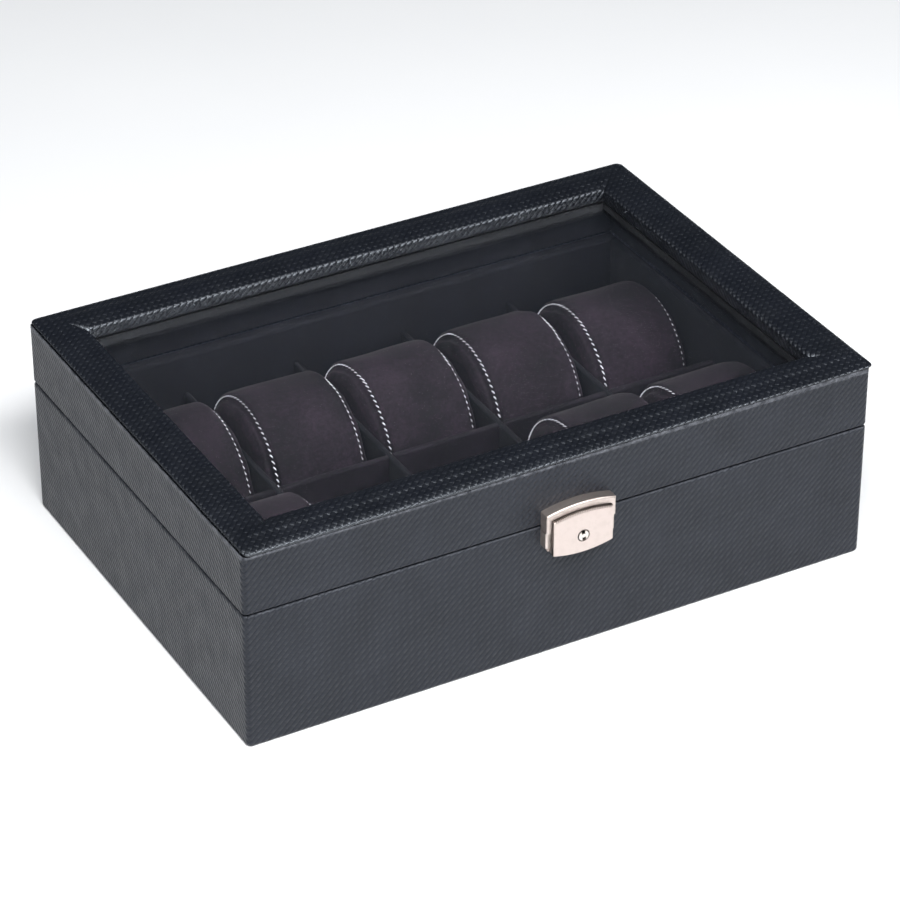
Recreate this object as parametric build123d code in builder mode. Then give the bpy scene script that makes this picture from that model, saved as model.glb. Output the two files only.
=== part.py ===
"""Watch box: a ten-compartment case with a glass-topped hinged lid and a sliding front lock.

Millimetres, +Z up. The origin is the centre of the underside, the lock faces -Y, the hinges are at +Y
and X runs along the length of the box.
"""

import os

from build123d import *

os.makedirs("parts", exist_ok=True)

# ---- driving dimensions -------------------------------------------------------------------------
LENGTH = 310.0  # outside, along X
DEPTH = 216.0  # outside, along Y
HEIGHT = 99.0  # underside to the top of the padded lid frame
BASE_HEIGHT = 67.0  # underside to the rim of the base
SEAM_GAP = 0.6  # between the base rim and the lid
SKIN = 1.0  # thickness of the covering
CORNER_R = 2.5  # vertical corners of the covering
EDGE_R = 1.2  # covering where it turns over a rim
FOOT_R = 1.5  # covering where it turns in under the base
FOOT_LIFT = 0.2  # the covering ends this far above the table, round the felt

FELT = 1.0
FOOT_WRAP = 12.0  # covering turned in under the base
FLOOR_BOARD = 5.0
BASE_WALL = 9.0
FLOOR_PAD = 8.0
LINING_END = 2.5  # lining on the left and right walls
LINING_LONG = 5.0  # lining on the front and back walls

COLUMNS = 5
PITCH = 57.0  # from one compartment to the next
DIVIDER = 3.0
DIVIDER_TOP = 47.0
DIVIDER_EDGE_R = 1.2
LINING_EDGE_R = 2.0

CUSHION_W = 53.0
CUSHION_R = 36.0
CUSHION_Y = 46.5  # middle of a row, from the middle of the box
CUSHION_CLEARANCE = 0.3
REAR_CROWN = 64.0
FRONT_CROWN = 68.0

LID_WALL = 7.0
RAIL_BOTTOM = 87.6
RAIL_TOP = 96.0
LIP_BOTTOM = 93.0  # underside of the lip that holds the glass down
WINDOW = (269.0, 176.0)  # clear opening in the padded frame
REBATE = 5.0  # the glass reaches this far under the lip
GLASS_T = 2.0
GLASS_GAP = 0.1
GLASS_PLAY = 0.4  # round the edges of the glass
LID_LINING = 1.2
LINING_GAP = 0.2  # between the turned-in lining and the glass beads
PAD_SKIRT = 0.4  # padded cover below the top of the rails
PAD_OUTER_R = 2.4
PAD_INNER_R = 1.6

HINGE_X = 95.0
HINGE_W = 36.0
LEAF_T = 0.9
LEAF_REACH = 7.5  # leaf on the rim, measured inward from the back face
KNUCKLES = 5
KNUCKLE_R = 2.2
KNUCKLE_GAP = 0.2
KNUCKLE_WEB = 1.0  # the web of a knuckle starts this far inside the back face
LEAF_INSET = 0.1  # the leaf is shorter than its recess by this much
PIN_R = 0.9
PIN_CLEARANCE = 0.06
PIN_END = 0.6  # stands out at each end of the knuckles
SCREW_R = 1.0
SCREW_HEAD_R = 1.7
SCREW_LENGTH = 7.0
SCREW_OFFSET = 10.0

LOCK_X = 3.8  # the lock sits a little to the right of the middle
PLATE_W = 29.6
PLATE_T = 1.9
PLATE_LOW = (55.0, 53.0)  # bottom edge at the sides and in the middle
PLATE_HIGH = (72.0, 73.8)  # top edge at the sides and in the middle
PLATE_EDGE_R = 0.3
KNURLS = 33
KNURL_W = 0.42
KNURL_DEPTH = 1.0
HOOD_W = 34.4
HOOD_BOTTOM = 66.0
HOOD_HIGH = (74.9, 77.2)
HOOD_EDGE_R = 0.9
HOOD_GAP = 0.25  # around the face plate
HOOD_RELIEF = 0.2  # clears the base covering below the lid
CATCH_W = 7.0
CATCH_Z = (68.3, 69.3)
EAR_W = 3.0
EAR_Z = (58.0, 65.6)
EAR_EDGE_R = 1.0
BACK_PLATE_W = 28.4
BACK_PLATE_Z = (53.9, 66.6)
GUIDE_X = 13.0  # the two guides of the slide, from the middle of the lock
GUIDE_W = 1.2
LEDGE_T = 0.8  # under the springs
SLIDE_W = 24.4
SLIDE_Z = (57.4, 66.2)
LATCH_W = 6.0
LATCH_TOP = 71.0
NOSE_H = 1.2
BARREL_Z = 61.3
BARREL_R = 2.4
BARREL_CLEARANCE = 0.08
BARREL_PROUD = 0.2
RING_R = 3.0  # sunk ring round the barrel
RING_DEPTH = 0.7
KEY_SLOT = (1.7, 7.0)
KEY_BAR_R = 0.95
KEY_SLOT_DEPTH = 1.6
KEY_TILT = 7.5
SPINDLE_R = 1.2
CAM = (6.4, 3.6)
CAM_RISE = 1.1
SPRING_X = 8.0
SPRING_R = 0.8
SPRING_WIRE_R = 0.2
SPRING_PITCH = 0.7
SPRING_LENGTH = 2.8
SPRING_LIFT = 0.25  # wire centre above the ledge
SPRING_POCKET = (1.2, 3.6)  # radius and depth
RIVET_R = 0.9
RIVET_LENGTH = 5.5
RIVET_X = 10.0
RIVET_Z = (64.0, 70.4)  # base and lid

# distances of the lock's parts in front of the box
SHEET_T = 1.0
CAM_Y = (1.3, 2.1)
NOSE_BACK = 2.1
BARREL_BACK = 2.2
SLIDE_BACK = 2.4
LATCH_FRONT = 3.6
CATCH_FRONT = 1.9
EAR_FRONT = 4.6
GUIDE_FRONT = 4.8
PLATE_BACK = 5.4
HOOD_FRONT = 5.5
SPRING_Y = 3.9

# ---- derived places -----------------------------------------------------------------------------
half_x = LENGTH / 2
half_y = DEPTH / 2
shell = (LENGTH - 2 * SKIN, DEPTH - 2 * SKIN)  # outside of the boards
base_room = (shell[0] - 2 * BASE_WALL, shell[1] - 2 * BASE_WALL)
lid_room = (shell[0] - 2 * LID_WALL, shell[1] - 2 * LID_WALL)
floor_top = FELT + FLOOR_BOARD
pad_top = floor_top + FLOOR_PAD
rim_under = BASE_HEIGHT - SKIN
lid_bottom = BASE_HEIGHT + SEAM_GAP
lid_board_bottom = lid_bottom + SKIN
tray = (COLUMNS * PITCH, base_room[1] - 2 * LINING_LONG)
rebate = (WINDOW[0] + 2 * REBATE, WINDOW[1] + 2 * REBATE)
glass_size = tuple(width - 2 * GLASS_PLAY for width in rebate)
glass_top = LIP_BOTTOM - GLASS_GAP
glass_bottom = glass_top - GLASS_T
hinge_y = half_y + KNUCKLE_R + KNUCKLE_GAP
hinge_z = BASE_HEIGHT + SEAM_GAP / 2
screw_y = half_y - LEAF_REACH / 2
plate_front = PLATE_BACK + PLATE_T


def save(piece, name):
    """Label a finished piece and write it as its own STEP file."""
    piece.part.label = name
    export_step(piece.part, f"parts/{name}.step")


def board(x_faces, y_faces, z_faces):
    """A rectangular board between two faces on each axis."""
    with BuildPart() as piece:
        with BuildSketch(Plane.XY.offset(z_faces[0])):
            with Locations((sum(x_faces) / 2, sum(y_faces) / 2)):
                Rectangle(x_faces[1] - x_faces[0], y_faces[1] - y_faces[0])
        extrude(amount=z_faces[1] - z_faces[0])
    return piece


def walls(room, thickness, z_faces):
    """Four butt-jointed walls round a room: long ones at front and back, short ones between."""
    x_in, y_in = room[0] / 2, room[1] / 2
    x_out, y_out = x_in + thickness[0], y_in + thickness[1]
    return {
        "front": board((-x_out, x_out), (-y_out, -y_in), z_faces),
        "back": board((-x_out, x_out), (y_in, y_out), z_faces),
        "left": board((-x_out, -x_in), (-y_in, y_in), z_faces),
        "right": board((x_in, x_out), (-y_in, y_in), z_faces),
    }


def mitred(side, outer, inner):
    """Corners of one side of a mitred frame between two rectangles."""
    ox, oy = outer[0] / 2, outer[1] / 2
    ix, iy = inner[0] / 2, inner[1] / 2
    corners = {
        "front": [(-ox, -oy), (ox, -oy), (ix, -iy), (-ix, -iy)],
        "back": [(ox, oy), (-ox, oy), (-ix, iy), (ix, iy)],
        "left": [(-ox, oy), (-ox, -oy), (-ix, -iy), (-ix, iy)],
        "right": [(ox, -oy), (ox, oy), (ix, iy), (ix, -iy)],
    }
    return corners[side]


def mitred_layer(side, outer, inner, z_faces):
    """Add one layer of a mitred rail to the piece being built."""
    with BuildSketch(Plane.XY.offset(z_faces[0])) as outline:
        Polygon(*mitred(side, outer, inner), align=None)
    extrude(outline.sketch, amount=z_faces[1] - z_faces[0])


def front_plane(distance):
    """A sketch plane this far in front of the box, with its X along the box and its Y upward."""
    return Plane.XZ.offset(half_y + distance)


def block(x_middle, width, z_faces, y_faces, mode=Mode.ADD):
    """Add or cut a rectangular block between two distances in front of the box."""
    with BuildSketch(front_plane(y_faces[0])) as outline:
        with Locations((x_middle, sum(z_faces) / 2)):
            Rectangle(width, z_faces[1] - z_faces[0])
    extrude(outline.sketch, amount=y_faces[1] - y_faces[0], mode=mode)


def arched(half_width, bottom, sides, middle, bottom_middle=None):
    """Outline on the front plane with an arched top and a flat or bowed bottom edge."""
    left = LOCK_X - half_width
    right = LOCK_X + half_width
    with BuildLine() as outline:
        Line((left, bottom), (left, sides))
        ThreePointArc((left, sides), (LOCK_X, middle), (right, sides))
        Line((right, sides), (right, bottom))
        if bottom_middle is None:
            Line((right, bottom), (left, bottom))
        else:
            ThreePointArc((right, bottom), (LOCK_X, bottom_middle), (left, bottom))
    make_face(outline.edges())


def drill_front(points, radius, near, far):
    """Bore round holes along Y between two distances in front of the box."""
    with BuildSketch(front_plane(near)) as holes:
        with Locations(*points):
            Circle(radius)
    extrude(holes.sketch, amount=far - near, mode=Mode.SUBTRACT)


def drill_screws(z, depth):
    """Bore the holes of the hinge screws along Z, up or down from a height."""
    with BuildSketch(Plane.XY.offset(z)) as holes:
        with Locations(*hinge_screws):
            Circle(SCREW_R)
    extrude(holes.sketch, amount=depth, mode=Mode.SUBTRACT)


def saw_slots(points, z_faces):
    """Cut the half-lap slots of a divider."""
    with BuildSketch(Plane.XY.offset(z_faces[0])) as slots:
        with Locations(*points):
            Rectangle(DIVIDER, DIVIDER)
    extrude(slots.sketch, amount=z_faces[1] - z_faces[0], mode=Mode.SUBTRACT)


hinge_screws = [(x + dx, screw_y) for x in (-HINGE_X, HINGE_X) for dx in (-SCREW_OFFSET, SCREW_OFFSET)]
base_rivets, lid_rivets = ([(LOCK_X + dx, z) for dx in (-RIVET_X, RIVET_X)] for z in RIVET_Z)
SIDES = ("front", "back", "left", "right")

# ---- base: felt, floor, walls and covering -------------------------------------------------------
felt_half = (half_x - FOOT_WRAP, half_y - FOOT_WRAP)
save(board((-felt_half[0], felt_half[0]), (-felt_half[1], felt_half[1]), (0, FELT)), "base_felt")
save(
    board((-shell[0] / 2, shell[0] / 2), (-shell[1] / 2, shell[1] / 2), (FELT, floor_top)),
    "base_floor_board",
)

base_walls = walls(base_room, (BASE_WALL, BASE_WALL), (floor_top, rim_under))
with base_walls["back"]:
    drill_screws(rim_under, -SCREW_LENGTH)
with base_walls["front"]:
    drill_front(base_rivets, RIVET_R, SKIN - RIVET_LENGTH, 0)
for side, wall in base_walls.items():
    save(wall, f"base_wall_{side}")

with BuildPart() as base_cover:
    with BuildSketch(Plane.XY.offset(FOOT_LIFT)):
        RectangleRounded(LENGTH, DEPTH, CORNER_R)
    extrude(amount=BASE_HEIGHT - FOOT_LIFT)
    fillet(base_cover.edges().group_by(Axis.Z)[0], radius=FOOT_R)
    fillet(base_cover.edges().group_by(Axis.Z)[-1], radius=EDGE_R)
    with BuildSketch(Plane.XY.offset(FELT)):
        Rectangle(*shell)
    extrude(amount=rim_under - FELT, mode=Mode.SUBTRACT)
    with BuildSketch(Plane.XY.offset(rim_under)):
        Rectangle(*base_room)
        with Locations((-HINGE_X, half_y - LEAF_REACH / 2), (HINGE_X, half_y - LEAF_REACH / 2)):
            Rectangle(HINGE_W, LEAF_REACH)
    extrude(amount=SKIN, mode=Mode.SUBTRACT)
    with BuildSketch():
        Rectangle(2 * felt_half[0], 2 * felt_half[1])
    extrude(amount=FELT, mode=Mode.SUBTRACT)
    drill_front(base_rivets, RIVET_R, -SKIN, 0)
save(base_cover, "base_cover")

# ---- inside of the base: floor pad, linings and dividers -----------------------------------------
save(
    board((-base_room[0] / 2, base_room[0] / 2), (-base_room[1] / 2, base_room[1] / 2), (floor_top, pad_top)),
    "floor_pad",
)
linings = walls(tray, (LINING_END, LINING_LONG), (pad_top, BASE_HEIGHT))
for side, lining in linings.items():
    with lining:
        along = Axis.X if side in ("front", "back") else Axis.Y
        across = Axis.Y if side in ("front", "back") else Axis.X
        top_edges = lining.edges().group_by(Axis.Z)[-1].filter_by(along).sort_by(across)
        fillet(top_edges[-1 if side in ("front", "left") else 0], radius=LINING_EDGE_R)
    save(lining, f"lining_{side}")

lap_z = (pad_top + DIVIDER_TOP) / 2
divider_x = [(column - COLUMNS / 2) * PITCH for column in range(1, COLUMNS)]
row_divider = board((-tray[0] / 2, tray[0] / 2), (-DIVIDER / 2, DIVIDER / 2), (pad_top, DIVIDER_TOP))
with row_divider:
    fillet(row_divider.edges().group_by(Axis.Z)[-1].filter_by(Axis.X), radius=DIVIDER_EDGE_R)
    saw_slots([(x, 0) for x in divider_x], (lap_z, DIVIDER_TOP))
save(row_divider, "row_divider")

for number, x in enumerate(divider_x, start=1):
    cross_divider = board(
        (x - DIVIDER / 2, x + DIVIDER / 2), (-tray[1] / 2, tray[1] / 2), (pad_top, DIVIDER_TOP)
    )
    with cross_divider:
        fillet(cross_divider.edges().group_by(Axis.Z)[-1].filter_by(Axis.Y), radius=DIVIDER_EDGE_R)
        saw_slots([(x, 0)], (pad_top, lap_z))
    save(cross_divider, f"cross_divider_{number}")

# ---- cushions: D-shaped rolls that lie across their compartments ---------------------------------
rows = {"rear": (CUSHION_Y, REAR_CROWN, (1, 2, 3, 4, 5)), "front": (-CUSHION_Y, FRONT_CROWN, (1, 4, 5))}
for row, (y, crown, columns) in rows.items():
    for column in columns:
        x_left = (column - (COLUMNS + 1) / 2) * PITCH - CUSHION_W / 2
        under = pad_top + CUSHION_CLEARANCE
        with BuildPart() as cushion:
            with BuildSketch(Plane.YZ.offset(x_left)):
                with Locations((y, crown - CUSHION_R)):
                    Circle(CUSHION_R)
                with Locations((y, under - CUSHION_R)):
                    Rectangle(2 * CUSHION_R, 2 * CUSHION_R, mode=Mode.SUBTRACT)
            extrude(amount=CUSHION_W)
        save(cushion, f"cushion_{row}_{column}")

# ---- lid: walls, top rails, covering and lining --------------------------------------------------
lid_walls = walls(lid_room, (LID_WALL, LID_WALL), (lid_board_bottom, RAIL_BOTTOM))
with lid_walls["back"]:
    drill_screws(lid_board_bottom, SCREW_LENGTH)
with lid_walls["front"]:
    drill_front(lid_rivets, RIVET_R, SKIN - RIVET_LENGTH, 0)
for side, wall in lid_walls.items():
    save(wall, f"lid_wall_{side}")

lip = (WINDOW[0] + 2 * SKIN, WINDOW[1] + 2 * SKIN)
for side in SIDES:
    with BuildPart() as rail:
        mitred_layer(side, shell, rebate, (RAIL_BOTTOM, LIP_BOTTOM))
        mitred_layer(side, shell, lip, (LIP_BOTTOM, RAIL_TOP))
    save(rail, f"lid_rail_{side}")

with BuildPart() as lid_cover:
    with BuildSketch(Plane.XY.offset(lid_bottom)):
        RectangleRounded(LENGTH, DEPTH, CORNER_R)
    extrude(amount=RAIL_TOP - PAD_SKIRT - lid_bottom)
    fillet(lid_cover.edges().group_by(Axis.Z)[0], radius=EDGE_R)
    with BuildSketch(Plane.XY.offset(lid_board_bottom)):
        Rectangle(*shell)
    extrude(amount=HEIGHT - lid_board_bottom, mode=Mode.SUBTRACT)
    with BuildSketch(Plane.XY.offset(lid_bottom)):
        Rectangle(*lid_room)
        with Locations((-HINGE_X, half_y - LEAF_REACH / 2), (HINGE_X, half_y - LEAF_REACH / 2)):
            Rectangle(HINGE_W, LEAF_REACH)
    extrude(amount=SKIN, mode=Mode.SUBTRACT)
    drill_front(lid_rivets, RIVET_R, -SKIN, 0)
save(lid_cover, "lid_cover")

lined = (lid_room[0] - 2 * LID_LINING, lid_room[1] - 2 * LID_LINING)
with BuildPart() as lid_lining:
    with BuildSketch(Plane.XY.offset(lid_bottom)):
        Rectangle(*lid_room)
        Rectangle(*lined, mode=Mode.SUBTRACT)
    extrude(amount=RAIL_BOTTOM - lid_bottom)
    with BuildSketch(Plane.XY.offset(RAIL_BOTTOM)):
        Rectangle(*lid_room)
        Rectangle(rebate[0] + 2 * LINING_GAP, rebate[1] + 2 * LINING_GAP, mode=Mode.SUBTRACT)
    extrude(amount=-SKIN)
save(lid_lining, "lid_lining")

# ---- lid top: padded frame, glass and the beads that hold the glass up ---------------------------
for side in SIDES:
    across = Axis.Y if side in ("front", "back") else Axis.X
    along = Axis.X if side in ("front", "back") else Axis.Y
    with BuildPart() as pad:
        mitred_layer(side, (LENGTH, DEPTH), WINDOW, (RAIL_TOP, HEIGHT))
        mitred_layer(side, (LENGTH, DEPTH), shell, (RAIL_TOP - PAD_SKIRT, RAIL_TOP))
        mitred_layer(side, lip, WINDOW, (LIP_BOTTOM, RAIL_TOP))
        top_edges = pad.edges().group_by(Axis.Z)[-1].filter_by(along)
        sign = -1 if side in ("front", "left") else 1
        outer_edge = top_edges.sort_by(across)[-1 if sign > 0 else 0]
        fillet(outer_edge, radius=PAD_OUTER_R)
        inner_edge = pad.edges().group_by(Axis.Z)[-1].filter_by(along).sort_by(across)[0 if sign > 0 else -1]
        fillet(inner_edge, radius=PAD_INNER_R)
    save(pad, f"lid_pad_{side}")

save(
    board(
        (-glass_size[0] / 2, glass_size[0] / 2),
        (-glass_size[1] / 2, glass_size[1] / 2),
        (glass_bottom, glass_top),
    ),
    "glass_pane",
)
for side in SIDES:
    with BuildPart() as bead:
        mitred_layer(side, rebate, WINDOW, (RAIL_BOTTOM, glass_bottom))
    save(bead, f"glass_bead_{side}")

# ---- hinges: two butt hinges with their knuckles behind the back face ----------------------------
segment = HINGE_W / KNUCKLES


def leaf(x, z_faces, knuckles, bore):
    """One hinge leaf: a plate on the rim, webs out to its knuckles and holes for its two screws."""
    starts = [x - HINGE_W / 2 + segment * k + KNUCKLE_GAP / 2 for k in knuckles]
    width = segment - KNUCKLE_GAP
    thickness = z_faces[1] - z_faces[0]
    with BuildPart() as piece:
        with BuildSketch(Plane.XY.offset(z_faces[0])):
            with Locations((x, half_y - LEAF_REACH / 2)):
                Rectangle(HINGE_W - KNUCKLE_GAP, LEAF_REACH - LEAF_INSET)
            for start in starts:
                with Locations((start + width / 2, (half_y - KNUCKLE_WEB + hinge_y) / 2)):
                    Rectangle(width, hinge_y - half_y + KNUCKLE_WEB)
        extrude(amount=thickness)
        for start in starts:
            with BuildSketch(Plane.YZ.offset(start)):
                with Locations((hinge_y, hinge_z)):
                    Circle(KNUCKLE_R)
            extrude(amount=width)
        with BuildSketch(Plane.YZ.offset(x - HINGE_W / 2)):
            with Locations((hinge_y, hinge_z)):
                Circle(bore)
        extrude(amount=HINGE_W, mode=Mode.SUBTRACT)
        with BuildSketch(Plane.XY.offset(z_faces[0])):
            with Locations((x - SCREW_OFFSET, screw_y), (x + SCREW_OFFSET, screw_y)):
                Circle(SCREW_HEAD_R)
        extrude(amount=thickness, mode=Mode.SUBTRACT)
    return piece


def screws(head_z, direction):
    """The four screws of the two leaves on one side of the seam."""
    with BuildPart() as piece:
        with BuildSketch(Plane.XY.offset(head_z)):
            with Locations(*hinge_screws):
                Circle(SCREW_HEAD_R)
        extrude(amount=direction * LEAF_T)
        with BuildSketch(Plane.XY.offset(head_z + direction * LEAF_T)):
            with Locations(*hinge_screws):
                Circle(SCREW_R)
        extrude(amount=direction * SCREW_LENGTH)
    return piece


base_leaf_z = (rim_under, rim_under + LEAF_T)
lid_leaf_z = (lid_board_bottom - LEAF_T, lid_board_bottom)
base_knuckles = range(0, KNUCKLES, 2)
lid_knuckles = range(1, KNUCKLES, 2)
for name, x in (("left", -HINGE_X), ("right", HINGE_X)):
    save(leaf(x, base_leaf_z, base_knuckles, PIN_R), f"hinge_{name}_base_leaf")
    save(leaf(x, lid_leaf_z, lid_knuckles, PIN_R + PIN_CLEARANCE), f"hinge_{name}_lid_leaf")

with BuildPart() as hinge_pins:
    for x in (-HINGE_X, HINGE_X):
        with BuildSketch(Plane.YZ.offset(x - HINGE_W / 2 - PIN_END)):
            with Locations((hinge_y, hinge_z)):
                Circle(PIN_R)
        extrude(amount=HINGE_W + 2 * PIN_END)
save(hinge_pins, "hinge_pins")
save(screws(base_leaf_z[1], -1), "hinge_screws_base")
save(screws(lid_leaf_z[0], 1), "hinge_screws_lid")

# ---- lock, fixed half: back plate with ears, guides and the ledge of the springs -----------------
with BuildPart() as lock_back_plate:
    block(LOCK_X, BACK_PLATE_W, BACK_PLATE_Z, (0, SHEET_T))
    block(LOCK_X, HOOD_W, EAR_Z, (0, SHEET_T))
    for side in (-1, 1):
        block(LOCK_X + side * (HOOD_W - EAR_W) / 2, EAR_W, EAR_Z, (SHEET_T, EAR_FRONT))
    ear_edges = lock_back_plate.edges().filter_by(Axis.Z).group_by(Axis.Y)[0].sort_by(Axis.X)
    fillet([ear_edges[0], ear_edges[-1]], radius=EAR_EDGE_R)
    for side in (-1, 1):
        block(LOCK_X + side * GUIDE_X, GUIDE_W, BACK_PLATE_Z, (SHEET_T, GUIDE_FRONT))
    ledge_z = (BACK_PLATE_Z[0], BACK_PLATE_Z[0] + LEDGE_T)
    block(LOCK_X, 2 * GUIDE_X + GUIDE_W, ledge_z, (SHEET_T, GUIDE_FRONT))
    drill_front(base_rivets, RIVET_R, 0, SHEET_T)
save(lock_back_plate, "lock_back_plate")

# ---- lock, moving half: slide with its latch finger, face plate, barrel, cam and springs ---------
barrel_bore = BARREL_R + BARREL_CLEARANCE
barrel_centre = (LOCK_X, BARREL_Z)
spring_places = [(LOCK_X + dx, -(half_y + SPRING_Y)) for dx in (-SPRING_X, SPRING_X)]
with BuildPart() as lock_slide:
    block(LOCK_X, SLIDE_W, SLIDE_Z, (SLIDE_BACK, PLATE_BACK))
    block(LOCK_X, LATCH_W, (SLIDE_Z[1], LATCH_TOP), (SLIDE_BACK, LATCH_FRONT))
    block(LOCK_X, LATCH_W, (LATCH_TOP - NOSE_H, LATCH_TOP), (NOSE_BACK, SLIDE_BACK))
    drill_front([barrel_centre], barrel_bore, SLIDE_BACK, PLATE_BACK)
    with BuildSketch(Plane.XY.offset(SLIDE_Z[0])):
        with Locations(*spring_places):
            Circle(SPRING_POCKET[0])
    extrude(amount=SPRING_POCKET[1], mode=Mode.SUBTRACT)
save(lock_slide, "lock_slide")

with BuildPart() as lock_face_plate:
    with BuildSketch(front_plane(PLATE_BACK)):
        arched(PLATE_W / 2, PLATE_LOW[0], PLATE_HIGH[0], PLATE_HIGH[1], PLATE_LOW[1])
    extrude(amount=PLATE_T)
    front_face = lock_face_plate.faces().sort_by(Axis.Y)[0]
    fillet(front_face.edges(), radius=PLATE_EDGE_R)
    rise = PLATE_HIGH[1] - PLATE_HIGH[0]
    crest_r = ((PLATE_W / 2) ** 2 + rise**2) / (2 * rise)
    with BuildSketch(front_plane(PLATE_BACK)):
        for knurl in range(KNURLS):
            dx = (knurl - (KNURLS - 1) / 2) * 2 * KNURL_W
            crest = PLATE_HIGH[1] - crest_r + (crest_r**2 - dx**2) ** 0.5
            with Locations((LOCK_X + dx, crest)):
                Rectangle(KNURL_W, 2 * KNURL_DEPTH)
    extrude(amount=PLATE_T, mode=Mode.SUBTRACT)
    drill_front([barrel_centre], barrel_bore, PLATE_BACK, plate_front)
    drill_front([barrel_centre], RING_R, plate_front - RING_DEPTH, plate_front)
save(lock_face_plate, "lock_face_plate")

with BuildPart() as lock_barrel:
    with BuildSketch(front_plane(CAM_Y[0])):
        with Locations(barrel_centre):
            Circle(SPINDLE_R)
    extrude(amount=BARREL_BACK - CAM_Y[0])
    with BuildSketch(front_plane(BARREL_BACK)):
        with Locations(barrel_centre):
            Circle(BARREL_R)
    extrude(amount=plate_front + BARREL_PROUD - BARREL_BACK)
    with BuildSketch(front_plane(plate_front + BARREL_PROUD)):
        with Locations(barrel_centre):
            Rectangle(*KEY_SLOT, rotation=KEY_TILT)
            Circle(KEY_BAR_R, mode=Mode.SUBTRACT)
    extrude(amount=-KEY_SLOT_DEPTH, mode=Mode.SUBTRACT)
save(lock_barrel, "lock_barrel")

with BuildPart() as lock_cam:
    with BuildSketch(front_plane(CAM_Y[0])):
        with Locations((LOCK_X, BARREL_Z + CAM_RISE)):
            SlotOverall(*CAM, rotation=90)
        with Locations(barrel_centre):
            Circle(SPINDLE_R, mode=Mode.SUBTRACT)
    extrude(amount=CAM_Y[1] - CAM_Y[0])
save(lock_cam, "lock_cam")

with BuildPart() as lock_springs:
    for x, y in spring_places:
        with BuildLine() as coil:
            Helix(
                pitch=SPRING_PITCH,
                height=SPRING_LENGTH,
                radius=SPRING_R,
                center=(x, y, ledge_z[1] + SPRING_LIFT),
            )
        with BuildSketch(Plane(origin=coil.line @ 0, z_dir=coil.line % 0)):
            Circle(SPRING_WIRE_R)
        sweep(path=coil.line)
save(lock_springs, "lock_springs")

# ---- lock, lid half: arched hood with the catch --------------------------------------------------
with BuildPart() as lock_hood:
    with BuildSketch(front_plane(0)):
        arched(HOOD_W / 2, HOOD_BOTTOM, HOOD_HIGH[0], HOOD_HIGH[1])
    extrude(amount=HOOD_FRONT)
    rim_edges = lock_hood.faces().sort_by(Axis.Y)[0].edges().sort_by(Axis.Z)[1:]
    fillet(rim_edges, radius=HOOD_EDGE_R)
    with BuildSketch(front_plane(SHEET_T)):
        arched(
            PLATE_W / 2 + HOOD_GAP,
            HOOD_BOTTOM - SHEET_T,
            PLATE_HIGH[0] + HOOD_GAP,
            PLATE_HIGH[1] + HOOD_GAP,
        )
    extrude(amount=HOOD_FRONT, mode=Mode.SUBTRACT)
    below_lid = (HOOD_BOTTOM - SHEET_T, lid_bottom)
    block(LOCK_X, PLATE_W + 2 * HOOD_GAP, below_lid, (0, SHEET_T), Mode.SUBTRACT)
    block(LOCK_X, HOOD_W + 2 * SHEET_T, below_lid, (0, HOOD_RELIEF), Mode.SUBTRACT)
    block(LOCK_X, CATCH_W, CATCH_Z, (SHEET_T, CATCH_FRONT))
    drill_front(lid_rivets, RIVET_R, 0, SHEET_T)
save(lock_hood, "lock_hood")


def rivets(points):
    """A pair of plain rivets through a lock plate and the covering into the board."""
    with BuildPart() as piece:
        with BuildSketch(front_plane(SHEET_T - RIVET_LENGTH)):
            with Locations(*points):
                Circle(RIVET_R)
        extrude(amount=RIVET_LENGTH)
    return piece


save(rivets(base_rivets), "lock_rivets_base")
save(rivets(lid_rivets), "lock_rivets_lid")
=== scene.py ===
"""Looks of the watch box: its materials, padded lid frame, cushions, stitching, padded floor and studio."""

import math

import bmesh
import bpy
import numpy as np
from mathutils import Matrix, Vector, noise


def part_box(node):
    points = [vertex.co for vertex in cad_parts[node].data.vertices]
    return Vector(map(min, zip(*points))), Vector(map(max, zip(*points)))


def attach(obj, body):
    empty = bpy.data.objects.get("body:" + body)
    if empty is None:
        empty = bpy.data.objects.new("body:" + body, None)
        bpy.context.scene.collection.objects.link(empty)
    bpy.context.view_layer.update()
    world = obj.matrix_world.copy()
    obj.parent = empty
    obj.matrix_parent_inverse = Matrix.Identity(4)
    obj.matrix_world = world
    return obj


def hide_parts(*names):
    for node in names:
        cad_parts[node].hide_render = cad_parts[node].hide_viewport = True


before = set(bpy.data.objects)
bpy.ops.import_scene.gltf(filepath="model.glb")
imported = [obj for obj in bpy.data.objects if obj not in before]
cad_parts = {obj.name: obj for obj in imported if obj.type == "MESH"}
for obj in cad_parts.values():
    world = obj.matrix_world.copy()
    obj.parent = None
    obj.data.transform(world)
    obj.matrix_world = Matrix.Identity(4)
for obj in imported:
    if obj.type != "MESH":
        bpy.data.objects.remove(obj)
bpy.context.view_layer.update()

# ---- places and sizes, in metres -----------------------------------------------------------------
MM = 0.001
cover_low, cover_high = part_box("lid_cover")
base_low, base_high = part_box("base_cover")
pad_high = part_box("lid_pad_front")[1]
HALF_X, HALF_Y = cover_high.x, cover_high.y
BORDER_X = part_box("lid_pad_left")[1].x + HALF_X  # width of the padded frame at the left and right
BORDER_Y = pad_high.y + HALF_Y  # and at the front and back
FRAME_TOP = pad_high.z
GLASS_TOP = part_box("glass_pane")[1].z
RAIL_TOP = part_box("lid_rail_front")[1].z
LOCK_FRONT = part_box("lock_face_plate")[0].y

CELL = 3.33 * MM  # the embossed weave repeats at this distance; its cords lie across it at 45 degrees
WEAVE_DEPTH = 0.45 * MM  # of the weave on the side coverings
PAD_DEPTH = 0.42 * MM  # and on the padding
WEAR_AND_HIGHLIGHT_REACH = 0.9 * MM  # how far from an edge the covering is lightened, by real wear and by painted highlight
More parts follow.
